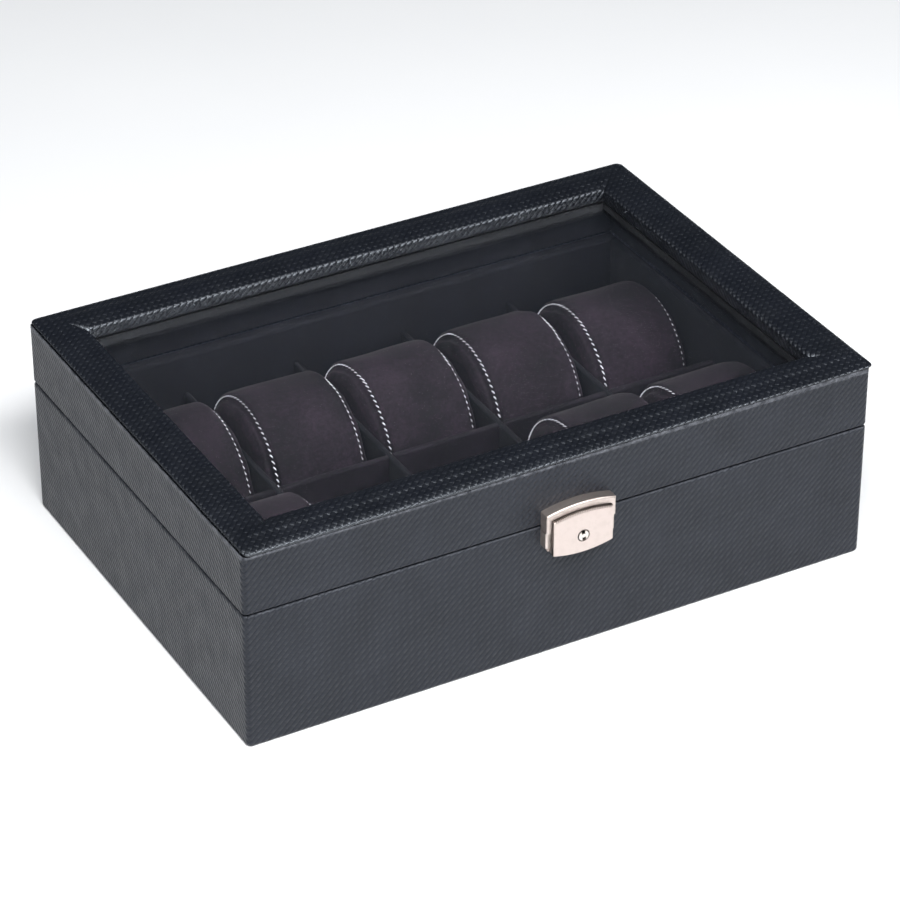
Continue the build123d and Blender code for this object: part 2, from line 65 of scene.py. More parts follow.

# the padding of the left, right, front and back of the lid
EDGES = (0.9 * MM, -1.2 * MM, -0.5 * MM, -1.1 * MM)  # how far inside the box it stays; below 0 it swells out
OUTER_ROLLS = (5.0 * MM, 4.5 * MM, 8.0 * MM, 4.5 * MM)  # width over which it turns down at the outside
INNER_ROLL = 2.0 * MM  # width over which it turns down at the glass
ROLL_MIDDLE = 0.42  # the outer roll is widest at this share of its height
UNDERCUT = 2.4 * MM  # how far the roll goes back in below its widest line
FOLD_INSET = 1.3 * MM  # where the padding meets the fold of the side covering
PAD_CROWN = 0.9 * MM  # rise between its outer and inner rolls
PAD_LIFT, MORE_LIFT = 0.1, 0.4  # height over its CAD solid at the left end, and the gain to the right, mm
MITRE_FROM = 0.62  # the crease begins at this share of the border
MITRE_DEPTH, MITRE_WIDTH = 0.9 * MM, 1.1  # crease at the mitred corners; the width is in mm
PUFFS = ((0.22 * MM, 42.0), (0.10 * MM, 130.0))  # depth and scale of the uneven filling
WALL_GAP, GLASS_GAP, RAIL_GAP = 0.1 * MM, 0.02 * MM, 0.05 * MM  # it stays this clear of the glass and rails
UNDER_LAP = 1.0 * MM  # width of its underside beside the glass
FOLD_LEVEL = 97.0  # height of the folded top edge of the side covering, mm
FOLD_DIP, FOLD_RISE = 0.95, 1.25  # along the front it starts lower and ends higher, mm
RISE_START, RISE_LENGTH = -60, 200  # where it rises along the front, mm
FOLD_TUCK = 0.1 * MM  # the padding starts this far below the fold's top
FOLD_WAVES = ((0.10 * MM, 60.0), (0.05 * MM, 260.0))  # depth and scale of its unevenness

STUDIO_REACH = 6.0  # half the side of the studio floor
SENSOR_WIDTH = 36.0  # mm
FAR_CLIP = 50.0
CAMERA_FROM = (-28.987, 32.333)  # azimuth and elevation of the camera, degrees
CAMERA_DISTANCE = 1.72549
CAMERA_AIM = Vector((0.00096, -0.00208, 0.04287))
LENS = 152.234  # mm


# ---- node helpers --------------------------------------------------------------------------------
class Tree:
    """Short calls for building the nodes of one material or node group."""

    def __init__(self, tree):
        self.tree = tree

    def node(self, kind, **settings):
        made = self.tree.nodes.new("ShaderNode" + kind)
        for name, value in settings.items():
            setattr(made, name, value)
        return made

    def put(self, socket, value):
        """Link a socket to an input, or set the input to a plain value."""
        if isinstance(value, bpy.types.NodeSocket):
            self.tree.links.new(value, socket)
        else:
            socket.default_value = value

    def math(self, operation, *values):
        made = self.node("Math", operation=operation)
        for socket, value in zip(made.inputs, values):
            self.put(socket, value)
        return made.outputs[0]

    def coordinates(self, output="Object"):
        return self.node("TexCoord").outputs[output]

    def split(self, vector):
        made = self.node("SeparateXYZ")
        self.put(made.inputs[0], vector)
        return made.outputs

    def join(self, x, y, z=0.0):
        made = self.node("CombineXYZ")
        for socket, value in zip(made.inputs, (x, y, z)):
            self.put(socket, value)
        return made.outputs[0]

    def stretch(self, vector, factors):
        made = self.node("VectorMath", operation="MULTIPLY")
        self.put(made.inputs[0], vector)
        made.inputs[1].default_value = factors
        return made.outputs[0]

    def noise(self, vector, scale, detail=2.0, roughness=0.5):
        made = self.node("TexNoise")
        self.put(made.inputs["Vector"], vector)
        made.inputs["Scale"].default_value = scale
        made.inputs["Detail"].default_value = detail
        made.inputs["Roughness"].default_value = roughness
        return made.outputs[0]

    def span(self, value, old, new, smooth=False):
        """Map a value from one range to another, clamped."""
        made = self.node("MapRange", interpolation_type="SMOOTHSTEP" if smooth else "LINEAR")
        for socket, number in zip(made.inputs, (value, *old, *new)):
            self.put(socket, number)
        return made.outputs[0]

    def blend(self, share, first, second):
        """Mix two colours."""
        made = self.node("Mix", data_type="RGBA")
        self.put(made.inputs[0], share)
        self.put(made.inputs[6], first)
        self.put(made.inputs[7], second)
        return made.outputs[2]

    def bump(self, height, depth, below=None):
        """A bump of a real depth in metres, over another one if given."""
        made = self.node("Bump")
        made.inputs["Strength"].default_value = 1.0
        made.inputs["Distance"].default_value = depth
        self.put(made.inputs["Height"], height)
        if below is not None:
            self.put(made.inputs["Normal"], below)
        return made.outputs[0]

    def use(self, group, **values):
        made = self.node("Group")
        made.node_tree = group
        for name, value in values.items():
            self.put(made.inputs[name], value)
        return made.outputs


def colour(red, green, blue):
    """A linear colour from the usual 0 to 255 values."""
    levels = [value / 255 for value in (red, green, blue)]
    return tuple(v / 12.92 if v <= 0.04045 else ((v + 0.055) / 1.055) ** 2.4 for v in levels) + (1.0,)


def material(name, **fixed):
    """A new material with one Principled shader, its plain values set on the shader's own sockets."""
    made = bpy.data.materials.new(name)
    made.use_nodes = True
    shader = made.node_tree.nodes["Principled BSDF"]
    for socket, value in fixed.items():
        shader.inputs[socket.replace("_", " ")].default_value = value
    return made, Tree(made.node_tree), shader


def new_group(name, inputs, outputs):
    group = bpy.data.node_groups.new(name, "ShaderNodeTree")
    for socket, kind in inputs.items():
        group.interface.new_socket(name=socket, in_out="INPUT", socket_type="NodeSocket" + kind)
    for socket in outputs:
        group.interface.new_socket(name=socket, in_out="OUTPUT", socket_type="NodeSocketFloat")
    tree = Tree(group)
    return group, tree, group.nodes.new("NodeGroupInput")


def weave_group():
    """Embossed weave of slanting cords: height, 0 to 1, on a plane given in metres.

    Relief is how much each cord rises where it lies over the other."""
    group, t, given = new_group("weave", {"Plane": "Vector", "Relief": "Float"}, ["Height"])
    result = group.nodes.new("NodeGroupOutput")
    x, y, _ = t.split(t.stretch(given.outputs["Plane"], (1 / CELL, 1 / CELL, 0)))
    rising, falling = t.math("SUBTRACT", x, y), t.math("ADD", x, y)

    def dome(place, power):
        centred = t.math("MULTIPLY_ADD", t.math("FRACT", place), 2.0, -1.0)
        return t.math("POWER", t.math("SUBTRACT", 1.0, t.math("MULTIPLY", centred, centred)), power)

    crossing = t.math("ADD", t.math("FLOOR", rising), t.math("FLOOR", falling))
    is_over = t.math("LESS_THAN", t.math("FLOORED_MODULO", crossing, 2.0), 0.5)
    relief = given.outputs["Relief"]
    rest = t.math("SUBTRACT", 1.0, relief)
    over = t.math("MULTIPLY", dome(rising, 0.75), t.math("MULTIPLY_ADD", dome(falling, 0.5), relief, rest))
    dip = t.math("MULTIPLY_ADD", dome(falling, 1.0), 0.12, t.math("MULTIPLY_ADD", relief, -1.0, 0.92))
    under = t.math("MULTIPLY", dome(rising, 0.6), dip)
    t.put(result.inputs["Height"], t.math("MULTIPLY_ADD", is_over, t.math("SUBTRACT", over, under), under))
    return group


def surface_plane(t, vector):
    """The two coordinates that lie in the surface, picked by the way the surface faces."""
    x, y, z = t.split(vector)
    facing = t.node("VectorMath", operation="ABSOLUTE")
    t.put(facing.inputs[0], t.coordinates("Normal"))
    nx, ny, nz = t.split(facing.outputs[0])
    faces_x = t.math("GREATER_THAN", nx, t.math("MAXIMUM", ny, nz))
    upright = t.math("GREATER_THAN", t.math("MAXIMUM", nx, ny), nz)
    u = t.math("MULTIPLY_ADD", faces_x, t.math("SUBTRACT", y, x), x)
    v = t.math("MULTIPLY_ADD", upright, t.math("SUBTRACT", z, y), y)
    return t.join(u, v)


def edge_wear_and_highlight(t, low, high, reach):
    """From 0 to 1, how far a box-shaped covering is lightened near its edges, by real wear and by painted
    highlight on its rounded edges, broken up by noise.
    """
    near = []
    for value, lowest, highest in zip(t.split(t.coordinates()), low, high):
        near.append(t.math("MINIMUM", t.math("SUBTRACT", value, lowest), t.math("SUBTRACT", highest, value)))
    dx, dy, dz = near
    both = t.math("MINIMUM", t.math("MAXIMUM", dx, dy), dz)
    to_edge = t.math("MAXIMUM", t.math("MINIMUM", dx, dy), both)
    wear_and_highlight = t.span(to_edge, (0.0, reach), (1.0, 0.0), smooth=True)
    patches = t.span(t.noise(t.coordinates(), 260.0, 4.0, 0.6), (0.38, 0.68), (0.15, 1.0))
    return t.math("MULTIPLY", wear_and_highlight, patches)


# ---- materials -----------------------------------------------------------------------------------
def leatherette(name, dark, light, rough, shine, relief, depth, low=None, high=None):
    """Leather cloth embossed with a weave of slanting cords, with painted light and shade on its cords, and
    edges lightened by wear and painted highlight if it covers a box.
    """
    made, t, shader = material(name, Specular_IOR_Level=shine, Specular_Tint=(0.84, 0.91, 1.0, 1.0))
    place = t.coordinates()
    drift = t.node("VectorMath", operation="MULTIPLY_ADD")
    wander = t.node("TexNoise")
    t.put(wander.inputs["Vector"], place)
    wander.inputs["Scale"].default_value = 16.0
    t.put(drift.inputs[0], wander.outputs["Color"])
    drift.inputs[1].default_value = (0.003, 0.003, 0.003)
    t.put(drift.inputs[2], place)
    height = t.use(weave, Plane=surface_plane(t, drift.outputs[0]), Relief=relief)["Height"]
    grain = t.noise(place, 2600.0, 3.0, 0.6)
    patches = t.noise(place, 38.0, 3.0, 0.55)
    # painted light and shade: the colour rises with the height of the weave, so the raised cords are painted
    # lighter and the hollows between them darker; the patches add random tone
    tint = t.math("MULTIPLY_ADD", height, 0.5, t.span(patches, (0.35, 0.65), (0.1, 0.4)))
    base = t.blend(tint, dark, light)
    roughness = t.span(t.noise(place, 90.0, 4.0, 0.6), (0.3, 0.7), (rough - 0.05, rough + 0.06))
    roughness = t.math("MULTIPLY_ADD", grain, 0.06, roughness)
    if low is not None:
        wear_and_highlight = edge_wear_and_highlight(t, low, high, WEAR_AND_HIGHLIGHT_REACH)
        # real wear and painted highlight: the edges of the covering are lightened towards a pale grey
        base = t.blend(t.math("MULTIPLY", wear_and_highlight, 0.75), base, colour(104, 106, 112))
        roughness = t.math("MULTIPLY_ADD", wear_and_highlight, 0.12, roughness)
    t.put(shader.inputs["Base Color"], base)
    t.put(shader.inputs["Roughness"], roughness)
    slack = t.bump(t.noise(place, 55.0, 2.0, 0.4), 0.35 * MM)
    woven = t.bump(height, depth, slack)
    t.put(shader.inputs["Normal"], t.bump(grain, 0.012 * MM, woven))
    return made


def suede(name, dark, light, nap):
    """Napped microfibre: brushed light and dark patches, short fibres and a soft sheen."""
    made, t, shader = material(name, Sheen_Weight=0.02, Sheen_Roughness=0.42, Specular_IOR_Level=0.25)
    place = t.coordinates()
    brushed = t.noise(t.stretch(place, (1.0, 0.55, 0.8)), 42.0, 4.0, 0.62)
    fibres = t.noise(t.stretch(place, (1.0, 0.45, 0.45)), 2300.0, 3.0, 0.7)
    flecks = t.noise(place, 540.0, 4.0, 0.8)
    share = t.math("MULTIPLY_ADD", flecks, 2.6, t.span(brushed, (0.33, 0.68), (-1.75, -1.3)))
    share = t.math("MULTIPLY_ADD", fibres, 1.0, share)
    t.put(shader.inputs["Base Color"], t.blend(share, dark, light))
    t.put(shader.inputs["Roughness"], t.span(flecks, (0.3, 0.7), (0.82, 0.98)))
    under = t.bump(brushed, 0.25 * MM)
    tufts = t.bump(flecks, 0.6 * nap, under)
    t.put(shader.inputs["Normal"], t.bump(fibres, nap, tufts))
    return made


def felt():
    made, t, shader = material("felt", Sheen_Weight=0.25, Sheen_Roughness=0.5, Specular_IOR_Level=0.2)
    place = t.coordinates()
    long_fibres = t.noise(t.stretch(place, (1.0, 0.25, 1.0)), 1400.0, 4.0, 0.7)
    cross_fibres = t.noise(t.stretch(place, (0.25, 1.0, 1.0)), 1500.0, 4.0, 0.7)
    matted = t.math("MULTIPLY", t.math("ADD", long_fibres, cross_fibres), 0.5)
    pressed = t.noise(place, 60.0, 3.0, 0.5)
    share = t.math("MULTIPLY_ADD", pressed, 0.4, t.span(matted, (0.35, 0.65), (0.0, 0.8)))
    t.put(shader.inputs["Base Color"], t.blend(share, colour(22, 22, 25), colour(58, 57, 62)))
    t.put(shader.inputs["Roughness"], t.span(matted, (0.3, 0.7), (0.85, 1.0)))
    t.put(shader.inputs["Normal"], t.bump(matted, 0.12 * MM))
    return made


def board(name, dark, light):
    """Medium-density fibreboard with pressed flecks."""
    made, t, shader = material(name, Specular_IOR_Level=0.3)
    place = t.coordinates()
    flecks = t.noise(t.stretch(place, (1.0, 1.0, 2.5)), 900.0, 5.0, 0.7)
    bands = t.noise(t.stretch(place, (0.2, 0.2, 1.0)), 400.0, 2.0, 0.5)
    share = t.math("MULTIPLY_ADD", bands, 0.4, t.span(flecks, (0.3, 0.7), (0.0, 0.7)))
    t.put(shader.inputs["Base Color"], t.blend(share, dark, light))
    t.put(shader.inputs["Roughness"], t.span(flecks, (0.3, 0.7), (0.7, 0.92)))
    t.put(shader.inputs["Normal"], t.bump(flecks, 0.05 * MM))
    return made


def metal(name, tint, dull, rough, brushed=(0.06, 1.0, 1.0), brush_depth=0.004 * MM, face=None, recess_shade=0.9):
    """Plated metal with brushed or tumbled marks, scratches, duller patches and painted shade on what lies
    behind its front face.
    """
    made, t, shader = material(name, Metallic=1.0)
    place = t.coordinates()
    lines = t.noise(t.stretch(place, brushed), 5200.0, 3.0, 0.6)
    scratches = t.noise(t.stretch(place, (1.0, 1.0, 0.12)), 1500.0, 5.0, 0.75)
    patches = t.noise(place, 320.0, 4.0, 0.6)
    handled = t.span(patches, (0.42, 0.7), (0.0, 0.3), smooth=True)
    base = t.blend(handled, tint, dull)
    if face is not None:
        # painted shade: what lies further back than the front face, such as the knurl grooves and the gap
        # round the barrel, is darkened
        painted_recess_shade = t.span(t.split(place)[1], (face + 0.12 * MM, face + 0.5 * MM), (0.0, recess_shade))
        base = t.blend(painted_recess_shade, base, colour(46, 42, 40))
    t.put(shader.inputs["Base Color"], base)
    roughness = t.math("MULTIPLY_ADD", lines, 0.14, rough - 0.07)
    t.put(shader.inputs["Roughness"], t.math("MULTIPLY_ADD", handled, 0.25, roughness))
    fine = t.bump(lines, brush_depth)
    t.put(shader.inputs["Normal"], t.bump(scratches, 0.5 * brush_depth, fine))
    return made


def thread():
    """White twisted sewing thread with real dust, and painted shade in the grooves between its plies."""
    made, t, shader = material("thread", Sheen_Weight=0.2, Specular_IOR_Level=0.35)
    place = t.coordinates()
    plies = t.node("TexWave", wave_type="BANDS", bands_direction="DIAGONAL")
    t.put(plies.inputs["Vector"], place)
    plies.inputs["Scale"].default_value = 900.0
    dust = t.noise(place, 700.0, 3.0, 0.6)
    # painted shade: the ply bands darken the colour in the grooves between plies; the dust noise is real dust
    share = t.math("MULTIPLY_ADD", plies.outputs["Fac"], 0.55, t.math("MULTIPLY", dust, 0.5))
    t.put(shader.inputs["Base Color"], t.blend(share, colour(176, 174, 182), colour(246, 246, 250)))
    t.put(shader.inputs["Roughness"], t.span(dust, (0.3, 0.7), (0.55, 0.75)))
    t.put(shader.inputs["Normal"], t.bump(plies.outputs["Fac"], 0.05 * MM))
    return made


def glass():
    """Clear glass that lets lamplight through, with a faint film of dust and wiping marks."""
    made, t, shader = material("glass", Transmission_Weight=1.0, IOR=1.5)
    place = t.coordinates()
    wiped = t.noise(t.stretch(place, (1.0, 0.15, 1.0)), 60.0, 3.0, 0.6)
    t.put(shader.inputs["Roughness"], t.span(wiped, (0.4, 0.7), (0.0, 0.03)))
    t.put(shader.inputs["Base Color"], t.blend(wiped, (0.93, 0.94, 0.96, 1), (0.97, 0.975, 0.985, 1)))
    t.put(shader.inputs["Normal"], t.bump(t.noise(place, 9.0, 1.0, 0.3), 0.05 * MM))
    clear = t.node("BsdfTransparent")
    clear.inputs["Color"].default_value = (0.92, 0.93, 0.95, 1)
    choice = t.node("MixShader")
    t.put(choice.inputs[0], t.node("LightPath").outputs["Is Shadow Ray"])
    t.put(choice.inputs[1], shader.outputs[0])
    t.put(choice.inputs[2], clear.outputs[0])
    t.put(made.node_tree.nodes["Material Output"].inputs[0], choice.outputs[0])
    return made


def floor_material():
    made, t, shader = material("studio_floor", Specular_IOR_Level=0.15)
    mottled = t.noise(t.coordinates(), 3.0, 4.0, 0.6)
    t.put(shader.inputs["Base Color"], t.blend(mottled, (0.80, 0.81, 0.82, 1), (0.86, 0.865, 0.87, 1)))
    t.put(shader.inputs["Roughness"], t.span(mottled, (0.3, 0.7), (0.7, 0.85)))
    return made


weave = weave_group()
covering = (colour(15, 16, 21), colour(33, 35, 42))
black = (colour(5, 6, 9), colour(18, 20, 27))
cloth = (0.40, 0.33, 0.58, WEAVE_DEPTH)  # roughness, shine, relief and depth of the covering
looks = {
    "base_covering": leatherette("base_leatherette", *covering, *cloth, base_low, base_high),
    "lid_covering": leatherette("lid_leatherette", *covering, *cloth, cover_low, cover_high),
    "padding": leatherette("padded_leatherette", *black, 0.34, 0.9, 0.56, PAD_DEPTH),
    "felt": felt(),
    "board": board("fibreboard", colour(116, 88, 60), colour(170, 138, 102)),
    "stained_board": board("stained_board", colour(10, 10, 12), colour(26, 26, 30)),
    "lining": suede("suede_lining", colour(4, 4, 7), colour(17, 18, 25), 0.05 * MM),
    "bead_wrap": suede("bead_wrap", colour(3, 4, 6), colour(13, 14, 19), 0.04 * MM),
    "cushion": suede("cushion_suede", colour(2, 1, 3), colour(41, 30, 40), 0.05 * MM),
    "divider": suede("divider_suede", colour(5, 3, 6), colour(26, 19, 28), 0.05 * MM),
    "thread": thread(),
    "glass": glass(),
    "hinge_metal": metal("hinge_metal", colour(205, 200, 190), colour(120, 112, 100), 0.34),
    "lock_face": metal(
        "lock_face", colour(206, 193, 187), colour(192, 180, 173), 0.42, face=LOCK_FRONT, recess_shade=0.8
    ),
    "nickel": metal("nickel", colour(206, 194, 187), colour(176, 165, 158), 0.42, (1.0, 1.0, 1.0)),
    "lock_barrel": metal("lock_barrel", colour(222, 214, 207), colour(164, 155, 148), 0.32, face=LOCK_FRONT),
    "spring_steel": metal("spring_steel", colour(176, 180, 186), colour(96, 98, 104), 0.30, (1.0, 0.1, 1.0)),
    "rivet": metal("rivet", colour(206, 200, 192), colour(128, 122, 116), 0.36, (1.0, 1.0, 1.0)),
}
slot_looks = {
    "felt": "felt",
    "board": "board",
    "suede_lining": "lining",
    "bead_wrap": "bead_wrap",
    "glass": "glass",
    "hinge_metal": "hinge_metal",
    "nickel_plate": "lock_face",
    "nickel": "nickel",
    "spring_steel": "spring_steel",
    "rivet": "rivet",
}
special_looks = {name: "stained_board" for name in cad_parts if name.startswith("lid_rail_")}
special_looks |= {"row_divider": "divider", "lock_barrel": "lock_barrel"}


def dress(piece, look):
    """Give a piece one look in all its slots."""
    if not piece.material_slots:
        piece.data.materials.append(None)
    for held in piece.material_slots:
        held.material = looks[look]


for name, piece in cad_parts.items():
    slot = piece.material_slots[0].material.name
    if slot == "leatherette":
        dress(piece, "base_covering" if name == "base_cover" else "lid_covering")
    elif slot in slot_looks:
        dress(piece, special_looks.get(name, slot_looks[slot]))


# ---- mesh helpers --------------------------------------------------------------------------------
def mesh_piece(name, points, faces, look):
    """A new smooth-shaded mesh object with outward normals."""
    mesh = bpy.data.meshes.new(name)
    mesh.from_pydata([tuple(p) for p in points], [], faces)
    work = bmesh.new()
    work.from_mesh(mesh)
    bmesh.ops.recalc_face_normals(work, faces=work.faces)
    work.to_mesh(mesh)
    work.free()
    mesh.polygons.foreach_set("use_smooth", [True] * len(mesh.polygons))
    piece = bpy.data.objects.new(name, mesh)
    bpy.context.scene.collection.objects.link(piece)
    dress(piece, look)
    return piece


def tube_faces(rings, around, closed):
    """Quads that join rings of points, each ring closed, and the last ring to the first if asked."""
    faces = []
    for ring in range(rings if closed else rings - 1):
        here, there = ring * around, (ring + 1) % rings * around
        for i in range(around):
            j = (i + 1) % around
            faces.append((here + i, here + j, there + j, there + i))
    return faces


def wobble(x, y, z, scale, seed):
    """Smooth noise from -1 to 1 that is the same every run."""
    return noise.noise(Vector((x * scale + seed * 17.3, y * scale - seed * 5.1, z * scale + seed * 9.7)))


def uneven(x, y, waves, seed):
    """The sum of smooth noises, each with its own depth and scale."""
    return sum(depth * wobble(x, y, 0.0, scale, seed + i) for i, (depth, scale) in enumerate(waves))


SIDE_STEP = 2.0 * MM
CORNER_STEPS = 9


def rim_loop(insets, radius):
    """Points round the lid at an inset from each side, with round corners; any insets give the same count."""
    left, right, front, back = insets
    x_of = {-1: -HALF_X + left, 1: HALF_X - right}
    y_of = {-1: -HALF_Y + front, 1: HALF_Y - back}
    counts = (round(2 * HALF_Y / SIDE_STEP), round(2 * HALF_X / SIDE_STEP))
    turns = ((1, -1, -90), (1, 1, 0), (-1, 1, 90), (-1, -1, 180))
    corners = []
    for sx, sy, start in turns:
        corner = []
        for k in range(CORNER_STEPS):
            angle = math.radians(start + 90 * k / (CORNER_STEPS - 1))
            cx, cy = x_of[sx] - sx * radius, y_of[sy] - sy * radius
            corner.append((cx + radius * math.cos(angle), cy + radius * math.sin(angle)))
        corners.append(corner)
    loop = []
    for number, corner in enumerate(corners):
        loop += corner
        (ax, ay), (bx, by) = corner[-1], corners[(number + 1) % 4][0]
        count = counts[number % 2]
        for k in range(1, count):
            loop.append((ax + (bx - ax) * k / count, ay + (by - ay) * k / count))
    return loop


def clamp(value):
    return min(max(value, 0.0), 1.0)


def fold_height(x, y):
    """Height of the folded top edge of the side covering: it runs a little out of level along the front."""
    on_front = clamp((-y / HALF_Y - 0.98) / 0.02)
    rise = clamp((x / MM - RISE_START) / RISE_LENGTH)
    level = (FOLD_LEVEL + on_front * (FOLD_RISE * rise - FOLD_DIP)) * MM
    return level + uneven(x, y, FOLD_WAVES, 1)


def corner_radius(share):
    """Plan radius of the padding's corners: round outside, a sharp mitre at the glass."""
    return MM * (0.5 + 2.5 * (1 - share) ** 2)


def fullness(x):
    """The padding is fuller toward the right end of the box, from 0 to 1."""
    return clamp(0.5 + 0.5 * x / HALF_X)


# ---- padded frame of the lid ---------------------------------------------------------------------
def padded_frame():
    """One continuous padded band: its section goes from the side fold over the top to the glass and back."""
    # each point of the section: part, share of the border, share of the roll, share of the height
    section = [("fold", 0.0, 0.0, 0.0)]
    for k in range(5):
        turn = math.radians(75 - 15 * k)
        section.append(("below", 0.0, 1 - math.cos(turn), math.sin(turn)))
    for k in range(15):
        turn = math.radians(90 * k / 14)
        section.append(("outer", 0.0, 1 - math.cos(turn), math.sin(turn)))
    for k in range(1, 10):
        section.append(("top", k / 10, 0.0, 1.0))
    for k in range(11):
        turn = math.radians(90 * k / 10)
        section.append(("inner", 1.0, 1 - math.sin(turn), 1 - math.cos(turn)))
    for k in range(1, 5):
        section.append(("wall", 1.0, 0.0, k / 4))
    section.append(("under_glass", 1.0, 0.0, 0.0))
    section.append(("rail", 0.97, 0.0, 0.0))
    section.append(("rail", 0.05, 0.0, 0.0))

    points = []
    for part, share, roll, lift in section:
        for x, y in section_loop(part, share, roll):
            full = fullness(x)
            puff = uneven(x, y, PUFFS, 3)
            mitre = abs(abs(x) - HALF_X + BORDER_X - (abs(y) - HALF_Y + BORDER_Y)) / MM
            near_glass = clamp((share - MITRE_FROM) / (1 - MITRE_FROM))
            crease = MITRE_DEPTH * math.exp(-((mitre / MITRE_WIDTH) ** 2)) * near_glass
            crown = PAD_CROWN * share * (1 - share) * 4
            top = FRAME_TOP + (MORE_LIFT * full + PAD_LIFT) * MM + crown + puff * clamp(lift) - crease
            low = fold_height(x, y) - FOLD_TUCK
            widest = low + ROLL_MIDDLE * (top - low)
            if part == "fold":
                z = low - FOLD_TUCK
            elif part == "below":
                z = widest - lift * (widest - low)
            elif part == "outer":
                z = widest + lift * (top - widest)
            elif part == "top":
                z = top
            elif part == "inner":
                z = top - lift * INNER_ROLL
            elif part == "wall":
                z = (top - INNER_ROLL) * (1 - lift) + (GLASS_TOP + WALL_GAP) * lift
            else:
                z = GLASS_TOP + GLASS_GAP if part == "under_glass" else RAIL_TOP + RAIL_GAP
            points.append((x, y, z))
    around = len(points) // len(section)
    piece = mesh_piece("padded_frame", points, tube_faces(len(section), around, True), "padding")
    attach(piece, "lid")
    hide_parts("lid_pad_front", "lid_pad_back", "lid_pad_left", "lid_pad_right")


def section_loop(part, share, roll):
    """The loop of one point of the padding's section, for every side of the lid."""
    borders = (BORDER_X, BORDER_X, BORDER_Y, BORDER_Y)
    insets = []
    for edge, outer, border in zip(EDGES, OUTER_ROLLS, borders):
        if part == "fold":
            insets.append(FOLD_INSET)
        elif part == "below":
            insets.append(edge + roll * UNDERCUT)
        elif part == "outer":
            insets.append(edge + roll * outer)
        elif part == "top":
            insets.append((edge + outer) * (1 - share) + (border - INNER_ROLL) * share)
        elif part == "inner":
            insets.append(border - roll * INNER_ROLL)
        elif part == "wall":
            insets.append(border)
        elif part == "under_glass":
            insets.append(border - UNDER_LAP)
        else:
            insets.append(border * share)
    return rim_loop(insets, corner_radius(share))


def side_fold():
    """The folded top edge of the side covering: the cloth goes on up to the padding and rolls in."""
    # each point of the section: inset in mm, share of the way up to the fold, None at its foot, rise in mm
    section = [(0.5, None, -0.5), (0.0, None, -0.3), (-0.06, None, 0.0)]
    section += [(-0.08, 0.5, 0.0), (-0.08, 1.0, -0.3)]
    for k in range(7):
        turn = math.radians(180 * k / 6)
        section.append((0.22 - 0.30 * math.cos(turn), 1.0, 0.30 * math.sin(turn) - 0.2))
    section.append((0.5, 1.0, -0.9))
    points = []
    for inset, share, rise in section:
        for x, y in rim_loop([inset * MM] * 4, (2.6 - inset) * MM):
            low = cover_high.z - 0.3 * MM
            z = low if share is None else low + share * (fold_height(x, y) - low)
            points.append((x, y, z + rise * MM))
    around = len(points) // len(section)
    piece = mesh_piece("side_fold", points, tube_faces(len(section), around, True), "lid_covering")
    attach(piece, "lid")


padded_frame()
side_fold()

# ---- cushions ------------------------------------------------------------------------------------
SEAM = 21.0 * MM  # each row of stitches, from the middle of its cushion
AROUND = 72  # points round a cushion
# places of its rings from its middle, in mm, and sizes of the rings that close its ends, as shares
STATIONS = (0, 3, 6, 9, 12, 14.5, 17, 19, 20.2, 21, 21.8, 22.8, 23.8, 24.8, 25.6, 26.1)
CAP_SHARES = (0.93, 0.8, 0.6, 0.38, 0.18)
SEAM_DEPTH = 0.75 * MM  # how far a row of stitches pulls the skin in
THREAD_SINK = 0.55 * MM  # how far the thread lies below the skin as it was before that
GRIP = 1.5 * MM  # the skin is held on the floor up to this height
END_WIDTH = 5.3 * MM  # from the stitches to the flat end
END_FALL, TUCK, RIDGE = 6.5, 3.0, 1.1  # how far the end falls, dips at its stitches and swells after, mm
CUSHION_GAP, FLOOR_GAP = 0.4 * MM, 0.15 * MM  # from the skin to the sides and bottom of its CAD solid
PLEAT, SLUMP = 0.55 * MM, 0.5 * MM  # depth of the gathers at the ends, and of the hollows of the skin
END_BOW = 0.35 * MM  # how far the middle of an end lies further in than its rim
STITCH = 2.6 * MM
STITCH_GAP = 0.2 * MM
THREAD_R = 0.24 * MM
THREAD_SIDES = 7
CUSHIONS = [name for name in sorted(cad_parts) if name.startswith("cushion_")]


def cushion_section(angle, radius, drop):
    """Distance from the axis of the roll to its skin: round above, flat on the floor, softly cornered."""
    down = -math.sin(angle)
    if down <= 0.02:
        return radius
    flat = drop / down
    return (radius**-9 + flat**-9) ** (-1 / 9)


def end_taper(u):
    """How far the skin falls from the roll beyond its stitches, with a soft gathered ridge on the way."""
    beyond = clamp((abs(u) - SEAM) / END_WIDTH)
    fall = END_FALL * (1 - math.sqrt(max(1 - beyond**2, 0.0)))
    tuck = TUCK * math.sin(0.5 * math.pi * clamp(beyond / 0.35)) if beyond > 0 else 0.0
    ridge = RIDGE * math.exp(-(((beyond - 0.6) / 0.16) ** 2))
    return (fall + tuck - ridge * clamp(beyond * 4)) * MM


